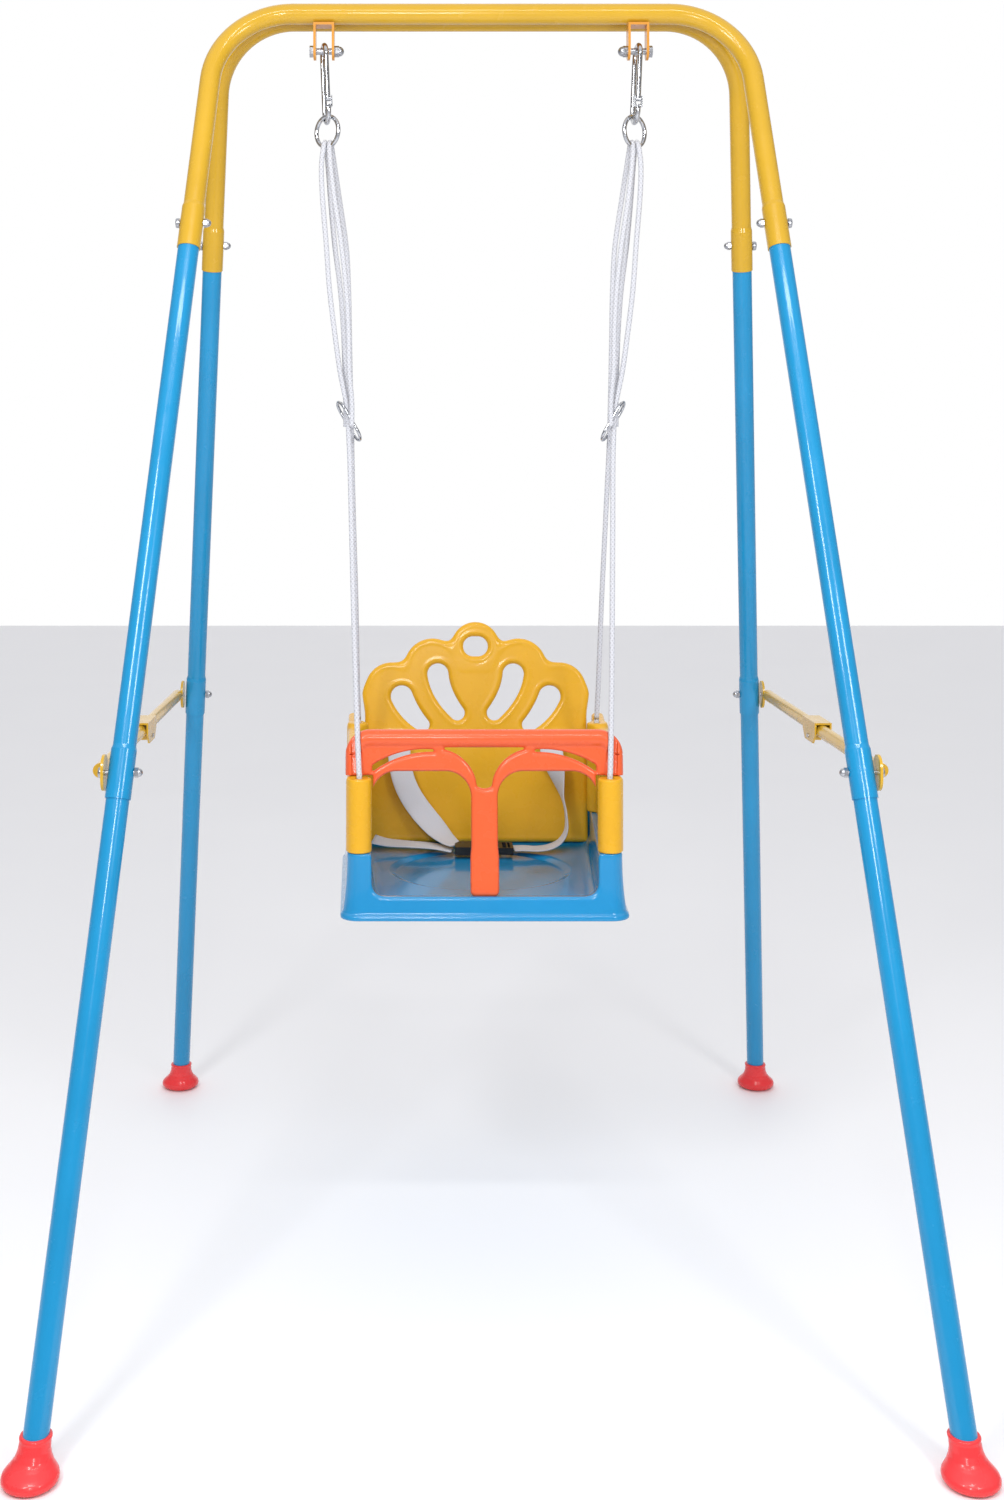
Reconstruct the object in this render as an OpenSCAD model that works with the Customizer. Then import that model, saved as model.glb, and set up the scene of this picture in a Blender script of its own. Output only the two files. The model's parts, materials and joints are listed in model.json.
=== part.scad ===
// Folding swing frame for a toddler, with a hanging bucket seat.
// X runs left to right, Y from front to rear, Z up. The origin is on the
// floor, midway between the four feet.

/* [Frame] */
// From the middle to the centre of a foot, left to right
foot_half_width = 450; // [430:5:480]
// From the middle to the centre of a foot, front to rear
foot_half_depth = 518; // [480:2:560]
// Height of the top bars' axes above the floor
bar_height = 1536; // [1500:2:1580]
// From the middle to where a leg's axis meets the top bar's axis
bar_half_width = 328; // [310:2:340]
// Half the distance between the two top bars' axes
bar_half_gap = 18; // [17:0.5:22]
// Outer diameter of the frame tubes
tube_d = 25.4; // [24:0.2:26]
// Wall thickness of the frame tubes
tube_wall = 1.2; // [1:0.1:1.5]
// Outer diameter of the widened tube ends
swage_d = 28; // [27.8:0.1:28.4]
// Radius of the top tube's bends, at its axis
bend_r = 100; // [80:5:120]

/* [Joints] */
// Height at which the yellow top tube ends over the blue leg
upper_joint_z = 1231; // [1200:5:1260]
// Length of a widened tube end, along the leg
swage_length = 58; // [50:2:64]
// Height of the lower leg bolts, which are also the brace pivots
brace_z = 641; // [600:5:680]
// Thread diameter of the leg bolts
leg_bolt_d = 6; // [5:0.5:6]
// Diameter of the round brace bars
brace_d = 16; // [14:0.5:17]
// Height of a rubber foot
foot_h = 40; // [38:1:50]
// Widest radius of a rubber foot
foot_r = 28; // [25:1:30]

/* [Hangers] */
// From the middle to a hanger bracket
hanger_x = 196; // [180:2:210]
// Drop from the top bar's axis to the hanger bolt
hanger_drop = 47; // [45:1:52]
// Thread diameter of the hanger bolts
hanger_bolt_d = 8; // [6:0.5:8]
// Wire diameter of the spring hooks
hook_wire_d = 6.5; // [5:0.5:7]
// Wire diameter of the rings
ring_wire_d = 5.5; // [4:0.5:6]
// Diameter of the ropes
rope_d = 6.5; // [5:0.5:7]

/* [Seat] */
// Underside of the seat base
seat_bottom_z = 439; // [430:1:445]
// Top of the seat floor
seat_floor_z = 461; // [458:1:464]
// Top of the base's side walls
base_top_z = 516; // [505:1:525]
// From the middle to a front post's axis
post_x = 148; // [140:1:150]
// Front to rear position of the front posts
post_y = -136; // [-140:1:-130]
// Top of the front posts
post_top_z = 603; // [595:1:610]
// Diameter of the front posts
post_d = 29; // [26:0.5:30]
// Height of the backrest above the seat floor
back_h = 297; // [290:1:310]
// Diameter of the guard's round bar
guard_d = 21; // [19:0.5:22]

/* [Hidden] */
$fn = 64;

// Colours
YELLOW = "#f8c62e";
BLUE = "#2aa0dc";
RED = "#f5464a";
ORANGE = "#ff6b3a";
BRACKET = "#f0a030";
ZINC = "#c4c6ca";
CHROME = "#dfe1e6";
ROPE = "#dcdce6";
BLACK = "#202124";

// Sides: front and rear along Y, left and right along X
FRONT = -1;
REAR = 1;
LEFT = -1;
RIGHT = 1;

// Frame geometry
lean = atan((foot_half_depth - bar_half_gap) / bar_height);
slope_length = norm([foot_half_depth - bar_half_gap, bar_height]);
splay = atan((foot_half_width - bar_half_width) / slope_length);
leg_length = norm([foot_half_width - bar_half_width, slope_length]);
per_height = leg_length / bar_height;
bend_tangent = bend_r * tan((90 - splay) / 2);
bar_flat = bar_half_width - bend_tangent;
fit_gap = 0.1;
upper_end = (bar_height - upper_joint_z) * per_height;
upper_start = upper_end - swage_length;
upper_bolt_z = upper_joint_z + 31;
lower_start = (bar_height - brace_z - 28) * per_height;
lower_end = lower_start + swage_length;
taper = 5;

// Hinge between the two top bars
hinge_x = 90;
hinge_w = 10;
hinge_r = 4.9;
hinge_pin_d = 5;

// Braces: outside the legs, with their centre hinge below the bars' axis
brace_x = 424;
brace_y = bar_half_gap + (foot_half_depth - bar_half_gap) * (bar_height - brace_z) / bar_height;
knee_drop = brace_d / 2 + 1.5;
plate_t = 3;
plate_in = brace_x - brace_d / 2;
knee_pin_d = 5;
stud_end = 415;

// Hangers
hanger_y = -bar_half_gap;
hanger_bolt_z = bar_height - hanger_drop;
strip_t = 3;
strip_w = 22;
ear_gap = 20;
hook_arc_r = 14.5;
hook_straight = 67;
hook_top_z = hanger_bolt_z + hanger_bolt_d / 2 + 0.1 + hook_wire_d / 2 - hook_arc_r;
hook_bottom_z = hook_top_z - hook_straight;
hook_lean = 2.4;
hook_twist_left = 12;
hook_twist_right = 6;
gate_pin_z = hook_bottom_z + 12;
gate_pin_d = 2;
ring_r = 19.25;
ring_x = hanger_x - 4;
ring_turn = 42;
ring_z = hook_bottom_z - hook_arc_r + hook_wire_d / 2 + ring_wire_d / 2 + 1.8 - ring_r;

// Seat
rear_boss = [157, 100];
rear_boss_top = 632;
side_top_z = 643;
back_y = 142;
back_lean = 7.7;
back_t = 12;
back_half = 151;
guard_place = [0, -117.5, 647];
guard_lean = 7.4;
guard_half = 154.5;
guard_corner = 19;
guard_t = 12;
guard_foot = -43.6;
rope_hole_d = 8;
web_t = 1.8;
web_w = 30;

// Right front rope, from its knot up through the adjuster, over the ring and back down
FRONT_ROPE = [[148, -136, 452], [148, -136, 520], [148, -136, 603], [148.6, -134, 612],
    [152, -115, 680], [156, -88, 776], [160, -58, 884], [163, -34, 970], [165, -25, 1008],
    [167, -25, 1044], [176, -25, 1090], [183, -26, 1141], [189, -26, 1192],
    [193, -26, 1247], [198, -26, 1310], [199, -25, 1345], [197, -24, 1365],
    [196, -21, 1373], [195, -17, 1376], [194, -13, 1373], [193, -10, 1364],
    [191, -9, 1340], [188, -9, 1300], [183, -10, 1247], [176, -12, 1192],
    [172, -14, 1141], [170, -15, 1090], [169, -17, 1050], [169, -17, 1020]];

// Right rear rope, the same way
REAR_ROPE = [[157, 100, 452], [157, 100, 520], [157, 100, 632], [157, 98, 641],
    [158, 82, 700], [159, 56, 800], [161, 30, 900], [162, 6, 975], [162, -8, 1010],
    [163, -6, 1044], [164, -6, 1090], [165, -5, 1141], [166, -5, 1192], [169, -5, 1247],
    [178, -6, 1310], [183, -9, 1345], [186, -11, 1365], [187, -14, 1373],
    [188, -18, 1376], [189, -22, 1373], [189, -25, 1364], [187, -27, 1340],
    [182, -31, 1300], [174, -33, 1247], [168, -33, 1192], [165, -33, 1141],
    [164, -33, 1090], [161, -31, 1050], [161, -31, 1020]];

// Left shoulder strap: each entry is a point and the direction of the webbing's width
STRAP_LEFT = [[[-104, 178, 598], [1, 0, 0]], [[-104, 159, 600], [1, 0, 0]],
    [[-104, 151, 597], [1, 0, 0]], [[-104, 146, 589], [1, 0, 0]], [[-103, 143, 574], [1, 0, 0]],
    [[-99, 139, 553], [1, 0.1, 0.2]], [[-90, 134, 532], [1, 0.1, 0.4]],
    [[-76, 127, 512], [1, 0.2, 0.7]], [[-58, 116, 493], [0.7, 0.6, 0.7]],
    [[-42, 104, 479], [0.3, 1, 0.4]], [[-28, 95, 471], [0, 1, 0.1]]];

// Left lap strap, from the side wall across the floor
STRAP_LAP = [[[-138, 111, 476], [0, 1, 0.2]], [[-118, 108, 472], [0, 1, 0.1]],
    [[-90, 103, 471], [0, 1, 0.05]], [[-60, 97, 470], [0, 1, 0.03]], [[-33, 92, 466], [0, 1, 0]]];

// Right strap, from the backrest down to the floor and back into the buckle
STRAP_RIGHT = [[[100, 178, 598], [1, 0, 0]], [[100, 159, 600], [1, 0, 0]],
    [[100, 151, 597], [1, 0, 0]], [[101, 146, 589], [1, 0, 0]], [[103, 142, 576], [1, -0.4, 0]],
    [[107, 138, 562], [1, -1, 0]], [[111, 133, 546], [0.4, -1, 0]], [[115, 126, 527], [0, -1, 0]],
    [[118, 116, 507], [0, -1, 0]], [[117, 107, 489], [0, -1, 0]], [[109, 101, 476], [0, -1, 0]],
    [[95, 97, 469], [0, -1, 0]], [[78, 94, 467], [0, -1, 0]], [[62, 93, 468], [0, -1, 0]],
    [[47, 92, 468], [0, -1, 0]]];

// Buckle
buckle_centre = [8, 92, 468];
buckle_w = 36;
buckle_t = 11;

// ---------------------------------------------------------------- helpers

function unit(v) = v / norm(v);

// Direction of travel at one point of a route
function heading(route, i) = unit(route[min(i + 1, len(route) - 1)] - route[max(i - 1, 0)]);

// Ring of n points round a point, square to a direction
function round_ring(at, along, across, r, n) =
    let (u = unit(cross(along, across)), v = cross(along, u))
    [for (k = [0:n - 1]) at + r * (cos(360 * k / n) * u + sin(360 * k / n) * v)];

// Four corners of a flat strap at a point
function flat_ring(at, along, width, w, t) =
    let (n = unit(cross(along, width)), s = unit(cross(n, along)))
    [for (c = [[1, 1], [-1, 1], [-1, -1], [1, -1]]) at + c[0] * w / 2 * s + c[1] * t / 2 * n];

// Point on a leg's axis at a height
function leg_point(depth, hand, z) =
    [hand * (bar_half_width + (foot_half_width - bar_half_width) * (bar_height - z) / bar_height),
     depth * (bar_half_gap + (foot_half_depth - bar_half_gap) * (bar_height - z) / bar_height),
     z];

// Closed solid through a list of rings that hold the same number of points
module skin(rings) {
    n = len(rings[0]);
    last = (len(rings) - 1) * n;
    sides = [for (i = [0:n:last - n]) for (j = [0:n - 1]) for (half = [0, 1])
        half == 0 ? [i + j, i + n + j, i + n + (j + 1) % n]
                  : [i + j, i + n + (j + 1) % n, i + (j + 1) % n]];
    first_cap = [for (j = [0:n - 1]) j];
    last_cap = [for (j = [n - 1:-1:0]) last + j];
    polyhedron([for (ring = rings) for (p = ring) p], concat(sides, [first_cap, last_cap]));
}

module rope_along(route) {
    skin([for (i = [0:len(route) - 1])
        round_ring(route[i], heading(route, i), [1, 0, 0], rope_d / 2, 8)]);
}

module strap_along(stations) {
    route = [for (s = stations) s[0]];
    skin([for (i = [0:len(stations) - 1])
        flat_ring(route[i], heading(route, i), stations[i][1], web_w, web_t)]);
}

// The plane of one U frame: bar axis at the origin, legs going down
module frame_plane(depth) {
    translate([0, depth * bar_half_gap, bar_height]) rotate([depth * lean, 0, 0]) children();
}

// One leg's own axis: children are placed downwards along -Z
module leg_axis(depth, hand) {
    frame_plane(depth)
        translate([hand * bar_half_width, 0, 0]) rotate([0, -hand * splay, 0]) children();
}

// Cylinder along X, centred on a point
module cross_hole(at, d, length) {
    translate(at) rotate([0, 90, 0]) cylinder(d = d, h = length, center = true);
}

// Round bar along a leg between two distances from the corner
module leg_span(d, from, to) {
    translate([0, 0, -to]) cylinder(d = d, h = to - from);
}

// Widened tube end with a short taper at its upper edge
module swage(from, to) {
    leg_span(swage_d, from + taper, to);
    translate([0, 0, -from - taper]) cylinder(d1 = swage_d, d2 = tube_d, h = taper);
}

// Dome-headed bolt pointing along +X from the underside of its head
module dome_bolt(d, length) {
    rotate([0, 90, 0]) {
        cylinder(d = d, h = length);
        translate([0, 0, -d * 0.25]) cylinder(d = d * 2, h = d * 0.25);
        translate([0, 0, -d * 0.25]) intersection() {
            scale(1) sphere(r = d);
            translate([0, 0, -d]) cylinder(r = d, h = d);
            translate([0, 0, -d * 0.45]) cylinder(r = d, h = d * 0.45);
        }
    }
}

// Domed cap nut whose open face looks along -X
module cap_nut(d) {
    rotate([0, 90, 0]) difference() {
        union() {
            cylinder(d = d * 1.8, h = d * 0.7, $fn = 6);
            translate([0, 0, d * 0.7]) intersection() {
                sphere(d = d * 1.55);
                cylinder(d = d * 2, h = d);
            }
        }
        translate([0, 0, -1]) cylinder(d = d + 0.1, h = d * 0.9 + 1);
    }
}

// ------------------------------------------------------------------ frame

module top_tube(depth) {
    difference() {
        frame_plane(depth) difference() {
            union() {
                bar_and_bends(tube_d);
                for (hand = [LEFT, RIGHT]) straight_end(hand) swage(upper_start, upper_end);
            }
            bar_and_bends(tube_d - 2 * tube_wall);
            for (hand = [LEFT, RIGHT]) straight_end(hand)
                leg_span(tube_d + 2 * fit_gap, upper_start + taper, upper_end + 1);
        }
        for (hand = [LEFT, RIGHT])
            cross_hole(leg_point(depth, hand, upper_bolt_z), leg_bolt_d + 0.4, 60);
    }
}

// The straight end of a top tube, in the frame's own plane
module straight_end(hand) {
    translate([hand * bar_half_width, 0, 0]) rotate([0, -hand * splay, 0]) children();
}

// Top bar with its two bends and the straight ends, down to the widened part.
// The tube is drawn in very slightly through each bend.
module bar_and_bends(d) {
    lap = 0.5;
    translate([-bar_flat - lap, 0, 0]) rotate([0, 90, 0]) cylinder(d = d, h = 2 * (bar_flat + lap));
    for (hand = [LEFT, RIGHT]) {
        mirror([hand == LEFT ? 1 : 0, 0, 0]) translate([bar_flat, 0, -bend_r])
            rotate([90, 0, 0]) rotate([0, 0, splay])
                rotate_extrude(angle = 90 - splay) translate([bend_r, 0]) circle(d = d - 0.1);
        straight_end(hand) leg_span(d, bend_tangent - lap, upper_start + taper);
    }
}

module upper_leg(depth, hand) {
    color(BLUE) difference() {
        leg_axis(depth, hand) difference() {
            union() {
                leg_span(tube_d, upper_start + taper + 2, lower_start + 1);
                swage(lower_start, lower_end);
            }
            leg_span(tube_d - 2 * tube_wall, upper_start, lower_start + taper);
            leg_span(tube_d + 2 * fit_gap, lower_start + taper, lower_end + 1);
        }
        cross_hole(leg_point(depth, hand, upper_bolt_z), leg_bolt_d + 0.4, 60);
        cross_hole(leg_point(depth, hand, brace_z), leg_bolt_d + 0.4, 60);
    }
}

module lower_leg(depth, hand) {
    color(BLUE) difference() {
        leg_axis(depth, hand) difference() {
            leg_span(tube_d, lower_start + taper + 2, leg_length - 12);
            leg_span(tube_d - 2 * tube_wall, lower_start, leg_length);
        }
        cross_hole(leg_point(depth, hand, brace_z), leg_bolt_d + 0.4, 60);
    }
}

// Rubber foot: a sleeve along the leg that spreads into a round level base
module foot(depth, hand) {
    // height, radius, share of the leg's tilt
    profile = [[foot_h, 15, 1], [foot_h - 1.5, 15.4, 1], [28, 15.6, 1], [22, 16.8, 0.9],
        [17, 19.6, 0.65], [13, 23.4, 0.35], [9.5, foot_r - 1.4, 0.1], [6, foot_r, 0],
        [3, foot_r - 0.9, 0], [1, foot_r - 3, 0], [0, foot_r - 6, 0]];
    up = unit(leg_point(depth, hand, foot_h) - leg_point(depth, hand, 0));
    rings = [for (i = [len(profile) - 1:-1:0])
        let (p = profile[i], along = unit(p[2] * up + (1 - p[2]) * [0, 0, 1]))
        round_ring(leg_point(depth, hand, p[0]), along, [0, 1, 0], p[1], 32)];
    color(RED) difference() {
        skin(rings);
        leg_axis(depth, hand) leg_span(tube_d + 0.1, leg_length - 2 * foot_h, leg_length - 11.5);
    }
}

// Bolts through the upper leg joints
module joint_bolts(depth) {
    color(ZINC) for (hand = [LEFT, RIGHT]) {
        at = leg_point(depth, hand, upper_bolt_z);
        translate([at[0] + hand * (swage_d / 2 + 0.6), at[1], at[2]])
            mirror([hand == RIGHT ? 1 : 0, 0, 0]) dome_bolt(leg_bolt_d, swage_d + 6);
    }
}

// Cap nuts on the inner side of the leg joints, at one height
module inner_nuts(depth, z) {
    for (hand = [LEFT, RIGHT]) {
        at = leg_point(depth, hand, z);
        translate([at[0] - hand * (swage_d / 2 + 0.6), at[1], at[2]])
            mirror([hand == RIGHT ? 1 : 0, 0, 0]) cap_nut(leg_bolt_d);
    }
}

module front_nuts() {
    color(ZINC) {
        inner_nuts(FRONT, upper_bolt_z);
        inner_nuts(FRONT, brace_z);
    }
}

// The rear lower nuts carry their own short studs through the legs
module rear_nuts() {
    color(ZINC) {
        inner_nuts(REAR, upper_bolt_z);
        inner_nuts(REAR, brace_z);
        for (hand = [LEFT, RIGHT]) {
            at = leg_point(REAR, hand, brace_z);
            translate([at[0] - hand * (swage_d / 2 + 4), at[1], at[2]])
                rotate([0, hand * 90, 0]) cylinder(d = leg_bolt_d, h = swage_d + 3);
        }
    }
}

// Front bolts go through the brace plate and the leg
module front_brace_bolts() {
    color(ZINC) for (hand = [LEFT, RIGHT]) {
        at = leg_point(FRONT, hand, brace_z);
        translate([hand * (plate_in + plate_t + 0.3), at[1], at[2]])
            mirror([hand == RIGHT ? 1 : 0, 0, 0])
                dome_bolt(leg_bolt_d, plate_in + plate_t + 0.3 - abs(at[0]) + swage_d / 2 + 4);
    }
}

// Hinge knuckles between the two top bars, shaped to the tube they are welded to
module hinge_knuckles(depth, offset) {
    color(YELLOW) for (hand = [LEFT, RIGHT]) {
        difference() {
            translate([hand * (hinge_x + offset), 0, bar_height]) rotate([0, 90, 0]) union() {
                cylinder(r = hinge_r, h = hinge_w, center = true);
                translate([-4, depth < 0 ? -8 : 0, -hinge_w / 2]) cube([8, 8, hinge_w]);
            }
            translate([0, depth * bar_half_gap, bar_height])
                cross_hole([0, 0, 0], tube_d + 0.04, 400);
            cross_hole([0, 0, bar_height], hinge_pin_d + (depth < 0 ? 0.02 : 0.1), 400);
        }
    }
}

module top_hinge_pins() {
    color(ZINC) for (hand = [LEFT, RIGHT])
        cross_hole([hand * hinge_x, 0, bar_height], hinge_pin_d, 2 * hinge_w + 5);
}

// ----------------------------------------------------------------- braces

// Rounded end plate of a brace, standing upright outside the leg
module brace_plate(y) {
    translate([plate_in, y, brace_z]) rotate([0, 90, 0]) {
        for (s = [-1, 1]) translate([s * 4.5, 0, 0]) cylinder(r = 15, h = plate_t);
        translate([-4.5, -15, 0]) cube([9, 30, plate_t]);
    }
}

// Round bar along Y between two places
module brace_bar(from, to) {
    translate([brace_x, from, brace_z]) rotate([-90, 0, 0]) cylinder(d = brace_d, h = to - from);
}

module brace_front(hand) {
    color(YELLOW) mirror([hand == LEFT ? 1 : 0, 0, 0]) difference() {
        union() {
            brace_plate(-brace_y);
            brace_bar(-brace_y + 12, -2.5);
        }
        cross_hole([brace_x, 0, brace_z - knee_drop], 13, 10.8);
        cross_hole([plate_in, -brace_y, brace_z], leg_bolt_d + 0.1, 20);
    }
}

// Channel over the centre hinge: two cheeks and a top, fixed to the front half
module brace_bracket(hand) {
    cheek_t = 2.2;
    inner = brace_d + 0.8;
    color(YELLOW) mirror([hand == LEFT ? 1 : 0, 0, 0]) difference() {
        translate([brace_x - inner / 2 - cheek_t, -34, brace_z - knee_drop - 6.5])
            cube([inner + 2 * cheek_t, 66, brace_d / 2 + knee_drop + 6.5 + 3]);
        translate([brace_x - inner / 2, -40, brace_z - 40]) cube([inner, 80, 40 + brace_d / 2 + 0.5]);
        cross_hole([brace_x, 0, brace_z - knee_drop], knee_pin_d + 0.02, 60);
        for (y = [-34, 32]) translate([brace_x, y, brace_z - knee_drop - 6.5])
            rotate([45, 0, 0]) cube([60, 17, 17], center = true);
    }
}

module brace_pin(hand) {
    color(ZINC) mirror([hand == LEFT ? 1 : 0, 0, 0])
        cross_hole([brace_x, 0, brace_z - knee_drop], knee_pin_d, brace_d + 9);
}

module brace_rear(hand) {
    color(YELLOW) mirror([hand == LEFT ? 1 : 0, 0, 0]) difference() {
        union() {
            brace_plate(brace_y);
            brace_bar(2.5, brace_y - 12);
            translate([brace_x, 0, brace_z - knee_drop]) {
                rotate([0, 90, 0]) cylinder(r = 6, h = 10, center = true);
                translate([-5, 0, -1]) cube([10, 12, 8]);
            }
        }
        cross_hole([brace_x, 0, brace_z - knee_drop], knee_pin_d + 0.1, 60);
        cross_hole([plate_in, brace_y, brace_z], leg_bolt_d + 0.1, 20);
    }
}

// Bolt of the brace's rear end, which lifts off the leg as the brace folds
module brace_stud(hand) {
    color(ZINC) mirror([hand == LEFT ? 1 : 0, 0, 0])
        translate([plate_in + plate_t + 0.3, brace_y, brace_z]) mirror([1, 0, 0])
            dome_bolt(leg_bolt_d, plate_in + plate_t + 0.3 - stud_end);
}

// ---------------------------------------------------------------- hangers

// Folded strip under the front top bar: a crown and two drilled ears
module hanger_brackets() {
    crown_z = bar_height - tube_d / 2 - 0.1;
    ear_x = ear_gap / 2 + strip_t;
    color(BRACKET) for (hand = [LEFT, RIGHT])
        translate([hand * hanger_x, hanger_y, 0]) difference() {
            union() {
                translate([-ear_x, -strip_w / 2, crown_z - strip_t])
                    cube([2 * ear_x, strip_w, strip_t]);
                for (side = [-1, 1]) {
                    translate([side * (ear_x - strip_t / 2) - strip_t / 2, -strip_w / 2, hanger_bolt_z])
                        cube([strip_t, strip_w, crown_z - hanger_bolt_z]);
                    cross_hole([side * (ear_x - strip_t / 2), 0, hanger_bolt_z], strip_w, strip_t);
                }
            }
            cross_hole([0, 0, hanger_bolt_z], hanger_bolt_d + 0.3, 60);
        }
}

// The bolts' heads are outside and to the left or right of their brackets
module hanger_bolts() {
    head_x = ear_gap / 2 + strip_t + 0.1;
    color(ZINC) for (hand = [LEFT, RIGHT])
        translate([hand * hanger_x, hanger_y, hanger_bolt_z]) mirror([hand == RIGHT ? 1 : 0, 0, 0])
            translate([-head_x, 0, 0]) rotate([0, 90, 0]) {
                cylinder(d = hanger_bolt_d, h = 2 * head_x + 5);
                translate([0, 0, -5]) cylinder(d = hanger_bolt_d * 1.85, h = 5, $fn = 6);
            }
}

module hanger_nuts() {
    color(ZINC) for (hand = [LEFT, RIGHT])
        translate([hand * hanger_x, hanger_y, hanger_bolt_z]) mirror([hand == RIGHT ? 1 : 0, 0, 0])
            translate([ear_gap / 2 + strip_t + 0.1, 0, 0]) cap_nut(hanger_bolt_d);
}

// A hook's own place: it leans towards the middle and is twisted about the upright
module hook_place(hand) {
    twist = hand == LEFT ? hook_twist_left : hook_twist_right;
    translate([hand * hanger_x, hanger_y, hanger_bolt_z]) rotate([0, hand * hook_lean, 0])
        rotate([0, 0, twist]) translate([0, 0, -hanger_bolt_z]) children();
}

// Half circle of wire in the YZ plane, opening downwards
module wire_bend(r, d, z) {
    translate([0, 0, z]) rotate([0, 90, 0]) rotate([0, 0, 90])
        rotate_extrude(angle = 180) translate([r, 0]) circle(d = d);
}

module hook(hand) {
    cheek_x = hook_wire_d / 2 + 0.3;
    color(CHROME) hook_place(hand) difference() {
        union() {
            wire_bend(hook_arc_r, hook_wire_d, hook_top_z);
            translate([0, 0, 2 * hook_bottom_z]) mirror([0, 0, 1])
                wire_bend(hook_arc_r, hook_wire_d, hook_bottom_z);
            translate([0, hook_arc_r, hook_bottom_z]) cylinder(d = hook_wire_d, h = hook_straight);
            translate([0, -hook_arc_r, hook_bottom_z]) cylinder(d = hook_wire_d, h = 5);
            for (side = [-1, 1])
                translate([side * (cheek_x + 0.6) - 0.6, -hook_arc_r - 3.2, hook_bottom_z + 2])
                    cube([1.2, 6.4, gate_pin_z - hook_bottom_z + 2]);
            translate([-cheek_x, -hook_arc_r - 3.2, hook_bottom_z + 2]) cube([2 * cheek_x, 6.4, 2]);
        }
        cross_hole([0, -hook_arc_r, gate_pin_z], gate_pin_d + 0.02, 20);
    }
}

module gate(hand) {
    top = hook_top_z - 0.6;
    color(CHROME) hook_place(hand) difference() {
        union() {
            translate([0, -hook_arc_r, gate_pin_z]) cylinder(d = hook_wire_d - 0.5, h = top - gate_pin_z);
            cross_hole([0, -hook_arc_r, gate_pin_z], hook_wire_d - 0.5, hook_wire_d - 0.5);
        }
        cross_hole([0, -hook_arc_r, gate_pin_z], gate_pin_d + 0.1, 20);
    }
}

module gate_pins() {
    color(ZINC) for (hand = [LEFT, RIGHT]) hook_place(hand)
        cross_hole([0, -hook_arc_r, gate_pin_z], gate_pin_d, hook_wire_d + 3.2);
}

module rings() {
    color(CHROME) for (hand = [LEFT, RIGHT])
        translate([hand * ring_x, hanger_y, ring_z]) rotate([0, 0, ring_turn * hand]) rotate([90, 0, 0])
            rotate_extrude() translate([ring_r, 0]) circle(d = ring_wire_d);
}

// ------------------------------------------------------------------ ropes

module rope(hand, route) {
    color(ROPE) mirror([hand == LEFT ? 1 : 0, 0, 0]) rope_along(route);
}

// Oblong wire loop that the four upper strands and two lower strands pass
module rope_adjusters() {
    wire_d = 4;
    half_w = 12;
    half_l = 15;
    color(CHROME) for (hand = [LEFT, RIGHT])
        mirror([hand == LEFT ? 1 : 0, 0, 0]) translate([165, -19, 1027]) rotate([0, 30, 0])
            rotate([0, 0, 72]) {
                for (end = [0, 1]) mirror([0, 0, end])
                    translate([0, 0, half_l]) rotate([90, 0, 0]) rotate_extrude(angle = 180)
                        translate([half_w, 0]) circle(d = wire_d);
                for (side = [-1, 1]) translate([side * half_w, 0, -half_l])
                    cylinder(d = wire_d, h = 2 * half_l);
            }
}

// Stopper knots that sit in the pockets under the base
module rope_knots() {
    color(ROPE) for (hand = [LEFT, RIGHT]) for (at = [[post_x, post_y], rear_boss])
        translate([hand * at[0], at[1], seat_bottom_z + 7]) scale([1, 1, 1]) sphere(r = 6.5);
}

// ------------------------------------------------------------------- seat

// Corner posts of the base, in plan
BASE_CORNERS = [[-post_x, post_y], [post_x, post_y], [158, 162], [-158, 162]];

module base_shell() {
    // height, corner radius
    levels = [[seat_bottom_z, 16], [seat_bottom_z + 3, 19], [seat_bottom_z + 7, 20.5],
        [base_top_z, post_d / 2]];
    hull() for (level = levels) for (corner = BASE_CORNERS)
        translate([corner[0], corner[1], level[0] - (level[0] == base_top_z ? 0.01 : 0)])
            cylinder(r = level[1], h = 0.01, $fn = 32);
}

// The room above the floor: open at the front, with rounded lower edges
module base_room() {
    r = 16;
    hull() for (hand = [LEFT, RIGHT]) for (z = [seat_floor_z + r, base_top_z + 60]) {
        translate([hand * (131.6 - r - 3.5), -200, z]) sphere(r = r, $fn = 32);
        translate([hand * (151 - r), 149, z]) sphere(r = r, $fn = 32);
    }
}

module seat_base() {
    pocket_top = seat_floor_z - 5;
    color(BLUE) difference() {
        base_shell();
        base_room();
        // hollow underside with stiffening ribs left standing
        difference() {
            translate([-130, -146, seat_bottom_z - 1]) cube([260, 308, pocket_top - seat_bottom_z + 1]);
            for (x = [-66, 0, 66]) translate([x - 1.5, -150, 0]) cube([3, 320, 500]);
            for (y = [-70, 10, 90]) translate([-140, y - 1.5, 0]) cube([280, 3, 500]);
        }
        for (hand = [LEFT, RIGHT]) for (at = [[post_x, post_y], rear_boss])
            translate([hand * at[0], at[1], 0]) {
                cylinder(d = rope_hole_d, h = 600);
                cylinder(d = 18, h = seat_bottom_z + 13);
            }
    }
}

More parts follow.
